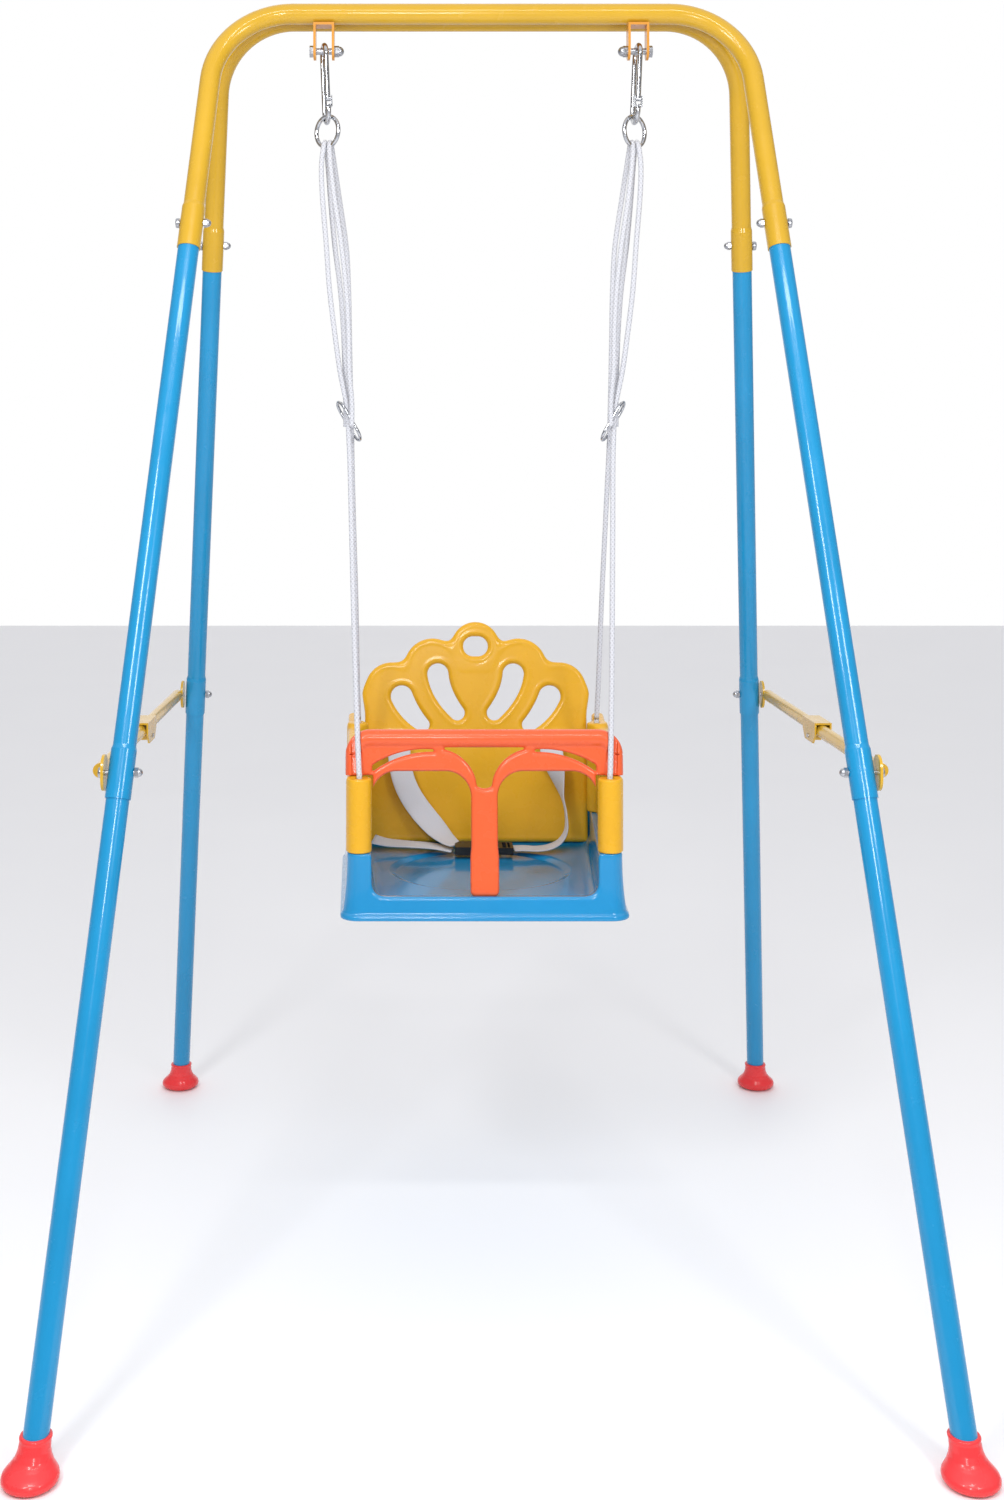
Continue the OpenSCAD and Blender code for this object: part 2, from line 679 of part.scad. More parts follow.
// Side wall with the front rope post and the rear rope boss
module seat_side(hand) {
    color(YELLOW) mirror([hand == LEFT ? 1 : 0, 0, 0]) difference() {
        union() {
            translate([post_x, post_y, base_top_z]) cylinder(d = post_d, h = post_top_z - base_top_z);
            translate([rear_boss[0], rear_boss[1], base_top_z])
                cylinder(d = 26, h = rear_boss_top - base_top_z);
            difference() {
                translate([0, 0, base_top_z]) linear_extrude(height = side_top_z - base_top_z)
                    polygon([[150, post_y], [162.2, post_y], [173, 158], [156, 158]]);
                translate([0, post_y, post_top_z - 6]) rotate([8.5, 0, 0])
                    translate([100, -60, 0]) cube([120, 400, 120]);
            }
        }
        for (at = [[post_x, post_y], rear_boss])
            translate([at[0], at[1], 0]) cylinder(d = rope_hole_d, h = 1000);
    }
}

// Lobes of the backrest's scalloped edge: x, height above the floor, radius
LOBES = [[0, 263, 33], [58.7, 234.5, 39], [114.5, 204.5, 36.5]];
// Openings: upper end, middle and lower end, each x, height and radius
BACK_SLOTS = [[[51.4, 224.8, 14], [43.5, 198.6, 12.5], [25.2, 172.4, 9.7]],
    [[100.7, 194.5, 14.5], [88.9, 174, 12.6], [72.3, 156.5, 9]]];

module back_outline() {
    translate([-back_half, 0]) square([2 * back_half, 204]);
    translate([-95, 200]) square([190, 40]);
    polygon([[-58, 230], [58, 230], [24, 263], [-24, 263]]);
    for (side = [-1, 1]) for (lobe = LOBES)
        translate([side * lobe[0], lobe[1]]) circle(r = lobe[2]);
}

module back_openings() {
    for (side = [-1, 1]) {
        for (slot = BACK_SLOTS) hull() for (end = slot)
            translate([side * end[0], end[1]]) circle(r = end[2], $fn = 32);
        translate([side * 102, 140]) square([42, 5], center = true);
    }
    translate([0, 262.5]) square([6.6, 26.4], center = true);
    for (side = [-1, 1]) translate([side * 3.3, 262.5]) circle(r = 13.2);
}

module seat_back() {
    color(YELLOW) difference() {
        translate([0, back_y, seat_floor_z]) rotate([-back_lean, 0, 0]) difference() {
            translate([0, back_t, 0]) rotate([90, 0, 0]) linear_extrude(height = back_t) difference() {
                back_outline();
                back_openings();
            }
            for (side = [-1, 1]) translate([side * 153, 0, 0]) cube([20, 60, 120], center = true);
        }
        translate([0, 0, seat_floor_z - 50]) cube([400, 600, 107], center = true);
    }
}

// ------------------------------------------------------------------ guard

module guard_outline() {
    band_r = 118;
    difference() {
        union() {
            translate([-guard_half, guard_foot]) square([2 * guard_half, -guard_foot]);
            translate([-16, -179]) square([32, 139]);
            translate([-11, -184]) square([22, 20]);
            for (side = [-1, 1]) translate([side * 11, -179]) circle(r = 5);
            translate([-60, -76]) square([120, 40]);
        }
        for (side = [-1, 1]) {
            // leg openings, rounded at both upper corners
            translate([side * 75, -94.7]) square([118, 112 - 36], center = true);
            translate([side * 52, -74.7]) circle(r = 36);
            translate([side * 110, -62.7]) circle(r = 24);
            translate([side * 81, -50]) square([58, 22.6], center = true);
            translate([side * 84, -70]) square([64, 40], center = true);
            // thin slits under the bar
            intersection() {
                translate([side * 66, -132]) difference() {
                    circle(r = band_r + 1.8);
                    circle(r = band_r - 2.6);
                }
                translate([side * 98, -24]) square([72, 30], center = true);
            }
        }
        // opening between the arms of the T
        difference() {
            translate([-48, -56]) square([96, 46]);
            for (side = [-1, 1]) translate([side * 58, -62]) circle(r = 50);
        }
        translate([0, -52]) circle(r = 8);
    }
}

// Place of the guard: origin in the middle of its round bar, leaning back
module guard_frame() {
    translate(guard_place) rotate([-guard_lean, 0, 0]) children();
}

module guard() {
    color(ORANGE) difference() {
        guard_frame() {
            translate([0, guard_t / 2, 0]) rotate([90, 0, 0]) linear_extrude(height = guard_t)
                guard_outline();
            cross_hole([0, 0, 0], guard_d, 2 * (guard_half - guard_corner));
            for (hand = [LEFT, RIGHT]) mirror([hand == LEFT ? 1 : 0, 0, 0]) {
                translate([guard_half - guard_corner, 0, -guard_corner]) rotate([90, 0, 0])
                    rotate_extrude(angle = 90) translate([guard_corner, 0]) circle(d = guard_d);
                translate([guard_half, 0, guard_foot])
                    cylinder(d = guard_d, h = -guard_corner - guard_foot);
            }
        }
        // rope grooves, open to the front and long enough for the guard's travel
        for (hand = [LEFT, RIGHT]) mirror([hand == LEFT ? 1 : 0, 0, 0])
            translate([post_x + 1, -133, 612]) rotate([-atan(112 / 402), 0, 0])
                translate([0, 0, -40]) {
                    for (dx = [0, 5]) translate([dx, 0, 0]) cylinder(r = 4.2, h = 140);
                    translate([0, -4.2, 0]) cube([5, 8.4, 140]);
                    translate([-4.2, -30, 0]) cube([8.4, 30, 140]);
                }
        // flat under the ends, where they rest on the posts
        translate([0, 0, post_top_z - 50 + 0.4]) difference() {
            cube([400, 400, 100], center = true);
            cube([260, 500, 120], center = true);
        }
    }
}

// ------------------------------------------------------------------- belt

module belt_left() {
    color(ROPE) {
        strap_along(STRAP_LEFT);
        strap_along(STRAP_LAP);
    }
}

module belt_right() {
    color(ROPE) strap_along(STRAP_RIGHT);
}

module buckle_socket() {
    color(BLACK) translate(buckle_centre) difference() {
        translate([-38, -buckle_w / 2, -buckle_t / 2]) cube([42, buckle_w, buckle_t]);
        translate([-24, -buckle_w / 2 + 2.5, -buckle_t / 2 + 2]) cube([40, buckle_w - 5, buckle_t - 4]);
        translate([-16, -40, -buckle_t / 2 + 2]) cube([12, 80, buckle_t - 4]);
    }
}

module buckle_plug() {
    color(BLACK) translate(buckle_centre) {
        translate([4.4, -buckle_w / 2, -4.5]) cube([14, buckle_w, 9]);
        translate([-22, -4, -3]) cube([27, 8, 6]);
        difference() {
            translate([18, -buckle_w / 2, -4.5]) cube([20, buckle_w, 9]);
            translate([24, -buckle_w / 2 + 2.5, -10]) cube([5, buckle_w - 5, 20]);
            translate([31, -buckle_w / 2 + 2.5, -10]) cube([3, buckle_w - 5, 20]);
        }
    }
}

// Sprung arm of the plug, pressed in at the socket's side window
module buckle_button(depth) {
    color(BLACK) translate(buckle_centre) mirror([0, depth < 0 ? 1 : 0, 0]) {
        translate([-15.6, 12.6, -3.2]) cube([11.2, 5.4, 6.4]);
        translate([-15.6, 9.6, -3.2]) cube([19.6, 3, 6.4]);
    }
}

// ------------------------------------------------------------------- nodes

color(YELLOW) top_tube(FRONT);  // front_top_tube
upper_leg(FRONT, LEFT);  // front_upper_leg_left
upper_leg(FRONT, RIGHT);  // front_upper_leg_right
lower_leg(FRONT, LEFT);  // front_lower_leg_left
lower_leg(FRONT, RIGHT);  // front_lower_leg_right
foot(FRONT, LEFT);  // front_foot_left
foot(FRONT, RIGHT);  // front_foot_right
joint_bolts(FRONT);  // front_joint_bolts
front_brace_bolts();
front_nuts();
hinge_knuckles(FRONT, -5.5);  // top_hinge_front
top_hinge_pins();
hanger_brackets();
hanger_bolts();
hanger_nuts();
color(YELLOW) top_tube(REAR);  // rear_top_tube
upper_leg(REAR, LEFT);  // rear_upper_leg_left
upper_leg(REAR, RIGHT);  // rear_upper_leg_right
lower_leg(REAR, LEFT);  // rear_lower_leg_left
lower_leg(REAR, RIGHT);  // rear_lower_leg_right
foot(REAR, LEFT);  // rear_foot_left
foot(REAR, RIGHT);  // rear_foot_right
joint_bolts(REAR);  // rear_joint_bolts
rear_nuts();
hinge_knuckles(REAR, 5.5);  // top_hinge_rear
brace_front(LEFT);  // brace_front_left
brace_bracket(LEFT);  // brace_bracket_left
brace_pin(LEFT);  // brace_pin_left
brace_rear(LEFT);  // brace_rear_left
brace_stud(LEFT);  // brace_stud_left
brace_front(RIGHT);  // brace_front_right
brace_bracket(RIGHT);  // brace_bracket_right
brace_pin(RIGHT);  // brace_pin_right
brace_rear(RIGHT);  // brace_rear_right
brace_stud(RIGHT);  // brace_stud_right
hook(LEFT);  // hook_left
hook(RIGHT);  // hook_right
gate(LEFT);  // gate_left
gate(RIGHT);  // gate_right
gate_pins();
rings();
rope(LEFT, FRONT_ROPE);  // rope_front_left
rope(LEFT, REAR_ROPE);  // rope_rear_left
rope(RIGHT, FRONT_ROPE);  // rope_front_right
rope(RIGHT, REAR_ROPE);  // rope_rear_right
rope_adjusters();
rope_knots();
seat_base();
seat_back();
seat_side(LEFT);  // seat_side_left
seat_side(RIGHT);  // seat_side_right
guard();
belt_left();
belt_right();
buckle_socket();
buckle_plug();
buckle_button(FRONT);  // buckle_button_front
buckle_button(REAR);  // buckle_button_rear
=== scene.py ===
"""Looks of a folding toddler swing set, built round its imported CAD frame.

Everything is in metres in the frame's own axes: X to the right, Y from front to rear,
Z up from the floor. Moulded plastic pieces are modelled as distance fields, so their edges
and corners are blended as a mould blends them. They are a few millimetres off their CAD
solids in places. Ropes and straps follow the same routes as their CAD solids.
"""

import json
import math

import bpy
import numpy as np
import openvdb
from mathutils import Matrix, Vector


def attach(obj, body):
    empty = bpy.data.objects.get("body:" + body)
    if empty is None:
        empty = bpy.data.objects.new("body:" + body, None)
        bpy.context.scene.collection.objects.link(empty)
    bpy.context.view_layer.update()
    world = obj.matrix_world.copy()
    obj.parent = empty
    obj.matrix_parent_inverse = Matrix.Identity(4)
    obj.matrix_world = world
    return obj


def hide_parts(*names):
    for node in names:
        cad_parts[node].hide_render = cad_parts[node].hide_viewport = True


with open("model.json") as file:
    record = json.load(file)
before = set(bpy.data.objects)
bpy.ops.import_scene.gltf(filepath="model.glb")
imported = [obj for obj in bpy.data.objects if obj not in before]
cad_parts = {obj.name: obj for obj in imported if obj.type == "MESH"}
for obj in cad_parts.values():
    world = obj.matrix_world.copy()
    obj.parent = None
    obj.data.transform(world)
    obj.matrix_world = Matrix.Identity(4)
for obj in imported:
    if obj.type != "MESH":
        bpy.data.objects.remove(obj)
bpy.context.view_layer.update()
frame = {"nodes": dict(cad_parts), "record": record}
nodes = frame["nodes"]

MM = 0.001
LEFT, RIGHT = -1, 1
FRONT, REAR = -1, 1
SIDE_NAMES = {LEFT: "left", RIGHT: "right"}
DEPTH_NAMES = {FRONT: "front", REAR: "rear"}


# ---------------------------------------------------------------- camera

def add_camera():
    data = bpy.data.cameras.new("camera")
    data.lens = 40.8
    data.sensor_width = 36.0
    data.shift_x = 0.0567
    data.shift_y = -0.192
    data.clip_start = 0.05
    camera = bpy.data.objects.new("camera", data)
    camera.location = (-0.080, -2.143, 0.976)
    camera.rotation_euler = (math.radians(90), 0, 0)
    bpy.context.scene.collection.objects.link(camera)
    bpy.context.scene.camera = camera


add_camera()


# ------------------------------------------------------------- materials

def srgb(code):
    """A colour written as six hexadecimal digits, in linear light."""
    values = [int(code[i:i + 2], 16) / 255 for i in (0, 2, 4)]
    return [v / 12.92 if v <= 0.04045 else ((v + 0.055) / 1.055) ** 2.4 for v in values] + [1.0]


class Look:
    """A node material: a Principled shader with helpers that wire textures into it."""

    def __init__(self, name, colour, rough, metal=0.0, coat=0.0, coat_rough=0.05, sheen=0.0):
        self.material = bpy.data.materials.new(name)
        self.material.use_nodes = True
        self.material.diffuse_color = colour
        self.tree = self.material.node_tree
        self.shader = self.tree.nodes["Principled BSDF"]
        self.shader.inputs["Base Color"].default_value = colour
        self.shader.inputs["Roughness"].default_value = rough
        self.shader.inputs["Metallic"].default_value = metal
        self.shader.inputs["Coat Weight"].default_value = coat
        self.shader.inputs["Coat Roughness"].default_value = coat_rough
        self.shader.inputs["Sheen Weight"].default_value = sheen

    def node(self, kind, **settings):
        made = self.tree.nodes.new(kind)
        for key, value in settings.items():
            if key in made.inputs:
                made.inputs[key].default_value = value
            else:
                setattr(made, key, value)
        return made

    def link(self, a, b):
        self.tree.links.new(a, b)

    def noise(self, scale, detail=3.0, stretch=None):
        coords = self.node("ShaderNodeTexCoord")
        noise = self.node("ShaderNodeTexNoise")
        noise.inputs["Scale"].default_value = scale
        noise.inputs["Detail"].default_value = detail
        source = coords.outputs["Object"]
        if stretch:
            mapping = self.node("ShaderNodeMapping")
            mapping.inputs["Scale"].default_value = stretch
            self.link(source, mapping.inputs["Vector"])
            source = mapping.outputs["Vector"]
        self.link(source, noise.inputs["Vector"])
        return noise.outputs["Fac"]

    def spread(self, value, low, high):
        """The value's middle range, moved to low..high."""
        spread = self.node("ShaderNodeMapRange")
        spread.inputs["From Min"].default_value = 0.3
        spread.inputs["From Max"].default_value = 0.7
        spread.inputs["To Min"].default_value = low
        spread.inputs["To Max"].default_value = high
        self.link(value, spread.inputs["Value"])
        return spread.outputs["Result"]

    def vary_colour(self, value, dark, light):
        mix = self.node("ShaderNodeMix", data_type="RGBA")
        self.link(self.spread(value, 0.0, 1.0), mix.inputs["Factor"])
        for socket in mix.inputs:
            if socket.type == "RGBA" and socket.name == "A":
                socket.default_value = dark
            if socket.type == "RGBA" and socket.name == "B":
                socket.default_value = light
        colour = [s for s in mix.outputs if s.type == "RGBA"][0]
        self.link(colour, self.shader.inputs["Base Color"])

    def vary_rough(self, value, low, high):
        self.link(self.spread(value, low, high), self.shader.inputs["Roughness"])

    def bump(self, value, distance, strength=1.0):
        bump = self.node("ShaderNodeBump")
        bump.inputs["Distance"].default_value = distance
        bump.inputs["Strength"].default_value = strength
        self.link(value, bump.inputs["Height"])
        self.link(bump.outputs["Normal"], self.shader.inputs["Normal"])
        return bump


def shade(colour, factor):
    return [min(1.0, c * factor) for c in colour[:3]] + [1.0]


def paint(name, code, rough=0.22):
    """Gloss powder coat: a faint orange-peel surface under a clear top layer."""
    colour = srgb(code)
    look = Look(name, colour, rough, coat=0.35, coat_rough=0.05)
    look.shader.inputs["Specular IOR Level"].default_value = 0.3
    look.vary_colour(look.noise(9, 2), shade(colour, 0.95), shade(colour, 1.04))
    look.vary_rough(look.noise(60, 4), rough - 0.05, rough + 0.07)
    look.bump(look.noise(650, 2), 0.00006, 0.5)
    return look.material


def plastic(name, code, rough=0.3, coat=0.25):
    """Moulded gloss plastic: even colour, soft flow marks and a faint surface ripple."""
    colour = srgb(code)
    look = Look(name, colour, rough, coat=coat, coat_rough=0.07)
    look.shader.inputs["Specular IOR Level"].default_value = 0.25
    look.shader.inputs["Subsurface Weight"].default_value = 0.06
    look.shader.inputs["Subsurface Radius"].default_value = (0.004, 0.003, 0.002)
    look.shader.inputs["Subsurface Scale"].default_value = 0.5
    look.vary_colour(look.noise(7, 3), shade(colour, 0.96), shade(colour, 1.03))
    look.vary_rough(look.noise(38, 5), rough - 0.03, rough + 0.04)
    look.bump(look.noise(120, 3), 0.00006, 0.2)
    return look.material


def metal(name, code, rough, stretch=None, scale=220):
    colour = srgb(code)
    look = Look(name, colour, rough, metal=1.0)
    look.vary_colour(look.noise(40, 4), shade(colour, 0.88), shade(colour, 1.05))
    look.vary_rough(look.noise(scale, 5, stretch), rough - 0.05, rough + 0.1)
    look.bump(look.noise(scale * 2, 2, stretch), 0.00004, 0.4)
    return look.material


def braid(name, code):
    """Braided cord: two sets of strands that cross, from the tube's own length and girth, with painted shade
    in the hollows between strands.
    """
    colour = srgb(code)
    look = Look(name, colour, 0.75, sheen=0.25)
    uv = look.node("ShaderNodeUVMap", uv_map="route")
    split = look.node("ShaderNodeSeparateXYZ")
    look.link(uv.outputs["UV"], split.inputs["Vector"])
    waves = []
    for turn in (-1, 1):
        round_part = look.node("ShaderNodeMath", operation="MULTIPLY")
        round_part.inputs[1].default_value = turn * 8 * math.pi
        along = look.node("ShaderNodeMath", operation="MULTIPLY_ADD")
        along.inputs[1].default_value = 2 * math.pi / 0.0058
        sine = look.node("ShaderNodeMath", operation="SINE")
        look.link(split.outputs["X"], round_part.inputs[0])
        look.link(split.outputs["Y"], along.inputs[0])
        look.link(round_part.outputs[0], along.inputs[2])
        look.link(along.outputs[0], sine.inputs[0])
        waves.append(sine.outputs[0])
    weave = look.node("ShaderNodeMath", operation="MAXIMUM")
    look.link(waves[0], weave.inputs[0])
    look.link(waves[1], weave.inputs[1])
    level = look.node("ShaderNodeMapRange")
    level.inputs["From Min"].default_value = -1.0
    look.link(weave.outputs[0], level.inputs["Value"])
    # painted shade: the colour goes darker in the hollows between strands and slightly lighter on their
    # crowns, following the bump's height
    look.vary_colour(level.outputs["Result"], shade(colour, 0.8), shade(colour, 1.02))
    look.bump(level.outputs["Result"], 0.0005, 0.8)
    return look.material


def webbing(name, code):
    """Flat woven strap: ribs across it, crossed by fine warp threads, with painted shade in the troughs of
    the weave.
    """
    colour = srgb(code)
    look = Look(name, colour, 0.7, sheen=0.3)
    uv = look.node("ShaderNodeUVMap", uv_map="route")
    split = look.node("ShaderNodeSeparateXYZ")
    look.link(uv.outputs["UV"], split.inputs["Vector"])
    parts = []
    for axis, pitch in (("X", 0.0016), ("Y", 0.0021)):
        scaled = look.node("ShaderNodeMath", operation="MULTIPLY")
        scaled.inputs[1].default_value = 2 * math.pi / pitch
        sine = look.node("ShaderNodeMath", operation="SINE")
        look.link(split.outputs[axis], scaled.inputs[0])
        look.link(scaled.outputs[0], sine.inputs[0])
        parts.append(sine.outputs[0])
    crossed = look.node("ShaderNodeMath", operation="MULTIPLY")
    look.link(parts[0], crossed.inputs[0])
    look.link(parts[1], crossed.inputs[1])
    level = look.node("ShaderNodeMapRange")
    level.inputs["From Min"].default_value = -1.0
    look.link(crossed.outputs[0], level.inputs["Value"])
    # painted shade: the colour goes darker in the troughs of the weave and slightly lighter on the ribs,
    # following the bump's height
    look.vary_colour(level.outputs["Result"], shade(colour, 0.86), shade(colour, 1.02))
    look.bump(level.outputs["Result"], 0.0003, 0.7)
    return look.material


LOOKS = {
    "yellow_paint": paint("yellow_powder_coat", "cca12a"),
    "blue_paint": paint("blue_powder_coat", "1b8cc0"),
    "bracket_paint": paint("bracket_powder_coat", "d28f33", 0.3),
    "red_plastic": plastic("red_moulded", "ee3f42", 0.26),
    "yellow_plastic": plastic("yellow_moulded", "dfa822", 0.27),
    "blue_plastic": plastic("blue_moulded", "218bc2", 0.2, 0.6),
    "orange_plastic": plastic("orange_moulded", "e66136", 0.26),
    "black_plastic": plastic("black_moulded", "1b1c1f", 0.42, 0.1),
    "zinc": metal("bright_zinc", "b6b8bd", 0.26),
    "chrome": metal("polished_steel", "c9cbcf", 0.14),
    "white_rope": braid("braided_cord", "cccdd3"),
    "white_webbing": webbing("woven_strap", "cfd0d6"),
}


def dress(piece, slot):
    """Gives a piece the material of one of the record's slots."""
    piece.data.materials.clear()
    piece.data.materials.append(LOOKS[slot])


for part in frame["record"]["subparts"]:
    for place in nodes[part["node"]].material_slots:
        place.material = LOOKS[part["material_slot"]]


# ------------------------------------------------------------ mesh tools

def add_mesh(name, points, faces, smooth=True):
    mesh = bpy.data.meshes.new(name)
    mesh.from_pydata([tuple(p) for p in points], [], [tuple(f) for f in faces])
    mesh.validate()
    mesh.update()
    if smooth:
        mesh.polygons.foreach_set("use_smooth", [True] * len(mesh.polygons))
    piece = bpy.data.objects.new(name, mesh)
    bpy.context.scene.collection.objects.link(piece)
    return piece


def finish_piece(piece, slot, body, *stands_for):
    dress(piece, slot)
    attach(piece, body)
    if stands_for:
        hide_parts(*stands_for)
    return piece


def smooth_min(a, b, k):
    h = np.maximum(k - np.abs(a - b), 0) / k
    return np.minimum(a, b) - h * h * k / 4


def smooth_max(a, b, k):
    return -smooth_min(-a, -b, k)


def field_axes(low, high, step):
    spans = [np.arange(a, b + step, step, dtype=np.float32) for a, b in zip(low, high)]
    return np.meshgrid(*spans, indexing="ij", sparse=True)


def skin_field(name, field, low, step, place=None):
    """The surface where a distance field is zero, as a mesh of quads."""
    grid = openvdb.FloatGrid(1.0)
    grid.copyFromArray(np.ascontiguousarray(field, dtype=np.float32))
    points, quads = grid.convertToQuads(0.0)
    points = points * step + np.array(low, np.float32)
    piece = add_mesh(name, points.tolist(), quads[:, ::-1].tolist())
    if place:
        piece.data.transform(place)
    return piece


def round_rect(x, y, half_x, half_y, r):
    """Signed distance to a rectangle with rounded corners."""
    qx = np.abs(x) - half_x + r
    qy = np.abs(y) - half_y + r
    outside = np.sqrt(np.maximum(qx, 0) ** 2 + np.maximum(qy, 0) ** 2)
    return outside + np.minimum(np.maximum(qx, qy), 0) - r


def capsule2(x, y, a, b, ra, rb):
    """Distance to a slot whose radius goes from ra at one end to rb at the other."""
    dx, dy = b[0] - a[0], b[1] - a[1]
    t = np.clip(((x - a[0]) * dx + (y - a[1]) * dy) / (dx * dx + dy * dy), 0, 1)
    return np.sqrt((x - a[0] - t * dx) ** 2 + (y - a[1] - t * dy) ** 2) - (ra + (rb - ra) * t)


def slab(z, low, high):
    return np.maximum(low - z, z - high)


def curve_through(points, spacing):
    """Points at an even spacing on a smooth curve through the given ones."""
    points = [Vector(p) for p in points]
    ends = [points[0] * 2 - points[1]] + points + [points[-1] * 2 - points[-2]]
    fine = []
    for i in range(1, len(ends) - 2):
        p0, p1, p2, p3 = ends[i - 1:i + 3]
        count = max(2, int((p2 - p1).length / spacing * 2))
        for k in range(count):
            t = k / count
            fine.append(0.5 * (2 * p1 + (p2 - p0) * t + (2 * p0 - 5 * p1 + 4 * p2 - p3) * t * t
                               + (3 * p1 - p0 - 3 * p2 + p3) * t ** 3))
    fine.append(points[-1])
    even, left = [fine[0]], spacing
    for a, b in zip(fine, fine[1:]):
        step = (b - a).length
        while step >= left > 0:
            a = a + (b - a) * (left / step)
            even.append(a)
            step -= left
            left = spacing
        left -= step
    even.append(fine[-1])
    return even


def sweep(name, path, section, widths=None):
    """A closed skin that carries a section, in metres across, along a path. UV holds girth and length."""
    count = len(section)
    points, faces = [], []
    side = None
    length = 0.0
    lengths = []
    for i, p in enumerate(path):
        ahead = (path[min(i + 1, len(path) - 1)] - path[max(i - 1, 0)]).normalized()
        if widths:
            side = widths[i] - ahead * widths[i].dot(ahead)
        elif side is None:
            side = ahead.orthogonal()
        else:
            side = side - ahead * side.dot(ahead)
        side = side.normalized()
        up = ahead.cross(side)
        if i:
            length += (p - path[i - 1]).length
        lengths.append(length)
        points += [p + side * a + up * b for a, b in section]
    for i in range(len(path) - 1):
        for j in range(count):
            k = (j + 1) % count
            faces.append((i * count + j, i * count + k, (i + 1) * count + k, (i + 1) * count + j))
    last = (len(path) - 1) * count
    faces.append(tuple(reversed(range(count))))
    faces.append(tuple(last + j for j in range(count)))
    piece = add_mesh(name, points, faces)
    girth = [0.0]
    for a, b in zip(section, section[1:] + section[:1]):
        girth.append(girth[-1] + math.dist(a, b))
    uv = piece.data.uv_layers.new(name="route")
    for polygon in piece.data.polygons:
        seam = polygon.vertices[0] % count == count - 1 or polygon.vertices[1] % count == 0
        for loop in polygon.loop_indices:
            vertex = piece.data.loops[loop].vertex_index
            around = vertex % count
            u = girth[count] if seam and around == 0 else girth[around]
            uv.data[loop].uv = (u, lengths[vertex // count])
    return piece, girth[count], length


def circle_section(radius, sides):
    return [(radius * math.cos(2 * math.pi * k / sides), radius * math.sin(2 * math.pi * k / sides))
            for k in range(sides)]


def scale_girth(piece, girth):
    """Turns the girth part of a tube's UV into turns from 0 to 1."""
    for item in piece.data.uv_layers["route"].data:
        item.uv = (item.uv[0] / girth, item.uv[1])


# ------------------------------------------------------------------ ropes

ROPE_R = 3.25 * MM
FRONT_ROPE = [(148, -136, 452), (148, -136, 520), (148, -136, 603), (148.6, -134, 612),
              (152, -115, 680), (156, -88, 776), (160, -58, 884), (163, -34, 970), (165, -25, 1008),
              (167, -25, 1044), (176, -25, 1090), (183, -26, 1141), (189, -26, 1192),
              (193, -26, 1247), (198, -26, 1310), (199, -25, 1345), (197, -24, 1365),
              (196, -21, 1373), (195, -17, 1376), (194, -13, 1373), (193, -10, 1364),
              (191, -9, 1340), (188, -9, 1300), (183, -10, 1247), (176, -12, 1192),
              (172, -14, 1141), (170, -15, 1090), (169, -17, 1050), (169, -17, 1020)]
REAR_ROPE = [(157, 100, 452), (157, 100, 520), (157, 100, 632), (157, 98, 641),
             (158, 82, 700), (159, 56, 800), (161, 30, 900), (162, 6, 975), (162, -8, 1010),
             (163, -6, 1044), (164, -6, 1090), (165, -5, 1141), (166, -5, 1192), (169, -5, 1247),
             (178, -6, 1310), (183, -9, 1345), (186, -11, 1365), (187, -14, 1373),
             (188, -18, 1376), (189, -22, 1373), (189, -25, 1364), (187, -27, 1340),
             (182, -31, 1300), (174, -33, 1247), (168, -33, 1192), (165, -33, 1141),
             (164, -33, 1090), (161, -31, 1050), (161, -31, 1020)]

for hand in (LEFT, RIGHT):
    for depth, route in ((FRONT, FRONT_ROPE), (REAR, REAR_ROPE)):
        name = f"rope_{DEPTH_NAMES[depth]}_{SIDE_NAMES[hand]}"
        path = curve_through([(hand * x * MM, y * MM, z * MM) for x, y, z in route], 4 * MM)
        rope, girth, length = sweep(f"cord_{DEPTH_NAMES[depth]}_{SIDE_NAMES[hand]}", path,
                                    circle_section(ROPE_R, 14))
        scale_girth(rope, girth)
        finish_piece(rope, "white_rope", "swing", name)


# ------------------------------------------------------------------ straps

STRAPS = {
    "strap_shoulder_left": ("belt_left", [
        ((-104, 178, 598), (1, 0, 0)), ((-104, 159, 600), (1, 0, 0)), ((-104, 151, 597), (1, 0, 0)),
        ((-104, 146, 589), (1, 0, 0)), ((-103, 143, 574), (1, 0, 0)), ((-99, 139, 553), (1, 0.1, 0.2)),
        ((-90, 134, 532), (1, 0.1, 0.4)), ((-76, 127, 512), (1, 0.2, 0.7)),
        ((-58, 116, 493), (0.7, 0.6, 0.7)), ((-42, 104, 479), (0.3, 1, 0.4)),
        ((-28, 95, 471), (0, 1, 0.1))]),
    "strap_lap_left": (None, [
        ((-138, 111, 476), (0, 1, 0.2)), ((-118, 108, 472), (0, 1, 0.1)),
        ((-90, 103, 471), (0, 1, 0.05)), ((-60, 97, 470), (0, 1, 0.03)), ((-33, 92, 466), (0, 1, 0))]),
    "strap_right": ("belt_right", [
        ((100, 178, 598), (1, 0, 0)), ((100, 159, 600), (1, 0, 0)), ((100, 151, 597), (1, 0, 0)),
        ((101, 146, 589), (1, 0, 0)), ((103, 142, 576), (1, -0.4, 0)), ((107, 138, 562), (1, -1, 0)),
        ((111, 133, 546), (0.4, -1, 0)), ((115, 126, 527), (0, -1, 0)), ((118, 116, 507), (0, -1, 0)),
        ((117, 107, 489), (0, -1, 0)), ((109, 101, 476), (0, -1, 0)), ((95, 97, 469), (0, -1, 0)),
        ((78, 94, 467), (0, -1, 0)), ((62, 93, 468), (0, -1, 0)), ((47, 92, 468), (0, -1, 0))]),
}


